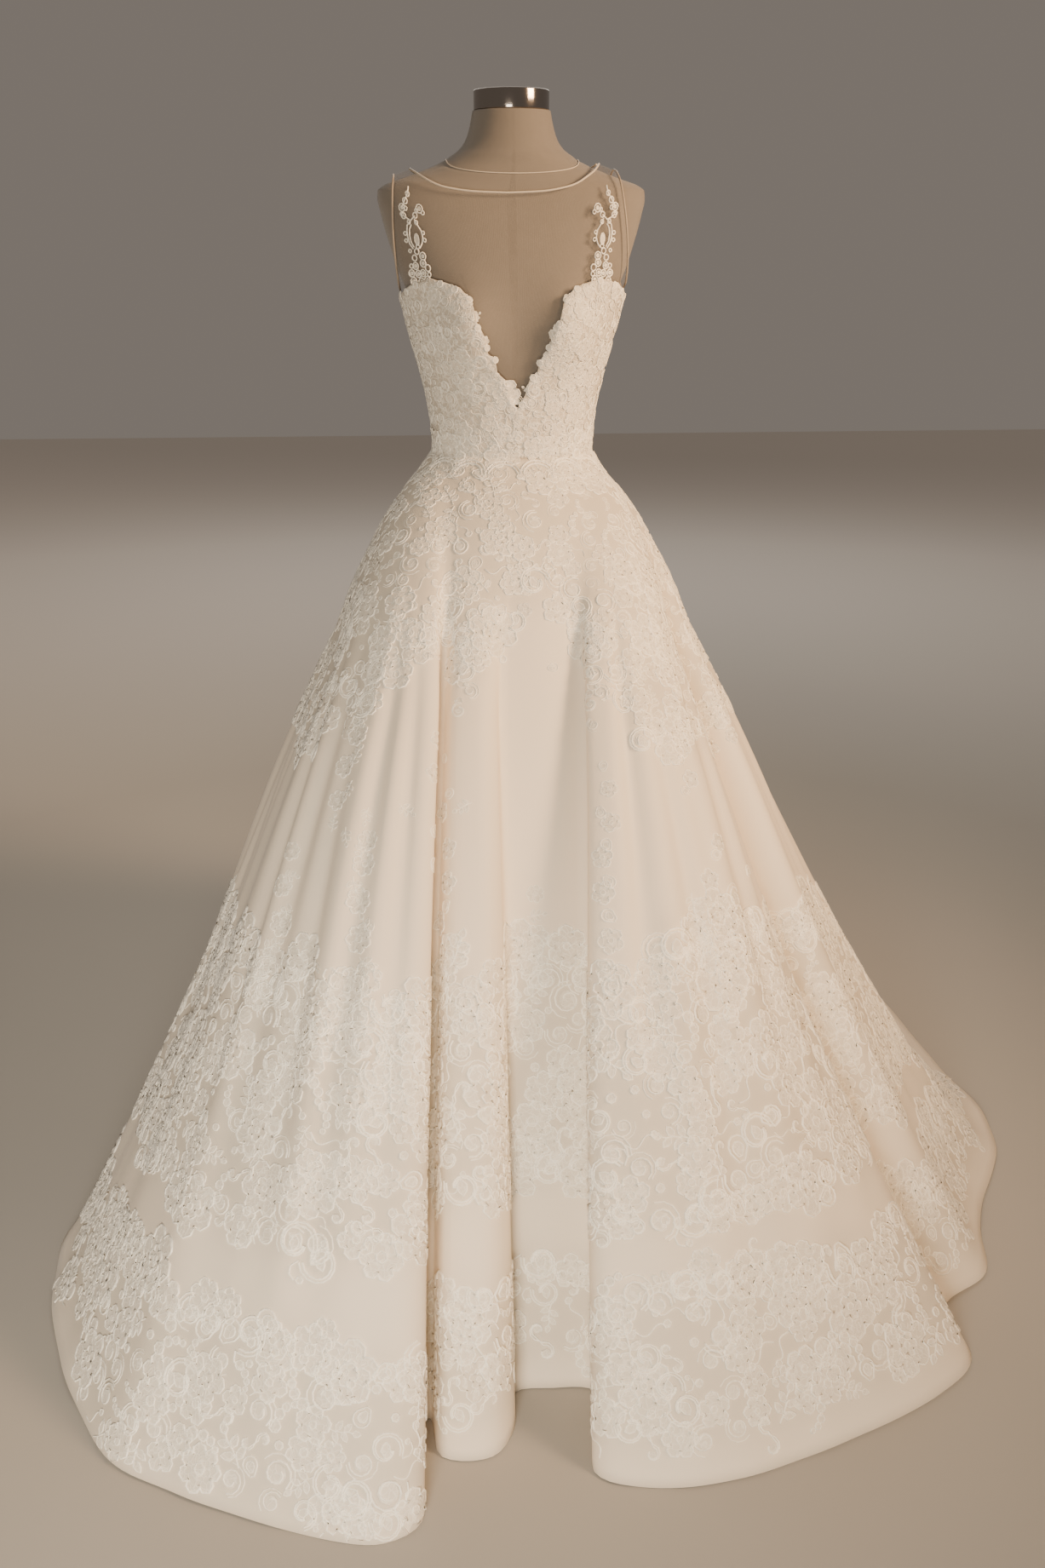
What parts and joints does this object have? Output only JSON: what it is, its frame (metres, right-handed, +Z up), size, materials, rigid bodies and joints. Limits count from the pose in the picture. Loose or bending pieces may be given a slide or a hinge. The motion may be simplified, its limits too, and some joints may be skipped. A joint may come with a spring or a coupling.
{
  "type": "wedding dress on a dress form",
  "caption": "Sleeveless ball gown with a deep V lace bodice, sheer yoke, pleated satin skirt with lace bands and a train, on a limbless dress form with a stand.",
  "frame": {"origin": "on the floor, at the centre of the stand base's underside, under the form's axis", "axes": "+Z up; -Y is the way the dress faces, so the train lies towards +Y; +X is on the right of someone who looks at the front"},
  "size_m": [1.4654, 2.1099, 1.562],
  "materials": {
    "satin": "ivory satin",
    "lace": "ivory corded lace",
    "net": "sheer tulle",
    "binding": "ivory satin binding",
    "form": "matt beige jersey cover",
    "metal": "polished dark chrome",
    "stand": "satin black"
  },
  "bodies": {
    "root": {"armhole_binding_left": "binding", "armhole_binding_right": "binding", "band_lace_back_left": "lace", "band_lace_back_right": "lace", "band_lace_front": "lace", "bodice_back_left": "lace", "bodice_back_right": "lace", "bodice_front_left": "lace", "bodice_front_right": "lace", "button_01": "binding", "button_02": "binding", "button_03": "binding", "button_04": "binding", "button_05": "binding", "button_06": "binding", "button_07": "binding", "button_08": "binding", "button_09": "binding", "button_10": "binding", "button_11": "binding", "button_12": "binding", "form_torso": "form", "hem_lace_back_left": "lace", "hem_lace_back_right": "lace", "hem_lace_front": "lace", "hip_lace_back_left": "lace", "hip_lace_back_right": "lace", "hip_lace_front": "lace", "neck_binding_back_left": "binding", "neck_binding_back_right": "binding", "neck_binding_front": "binding", "neck_cap": "metal", "skirt_back_left_panel": "satin", "skirt_back_right_panel": "satin", "skirt_front_left_panel": "satin", "skirt_front_panel": "satin", "skirt_front_right_panel": "satin", "skirt_side_left_panel": "satin", "skirt_side_right_panel": "satin", "stand_base": "stand", "stand_pole": "stand", "strap_lace_left": "lace", "strap_lace_right": "lace", "yoke_back_left": "net", "yoke_back_right": "net", "yoke_front": "net"}
  },
  "joints": []
}
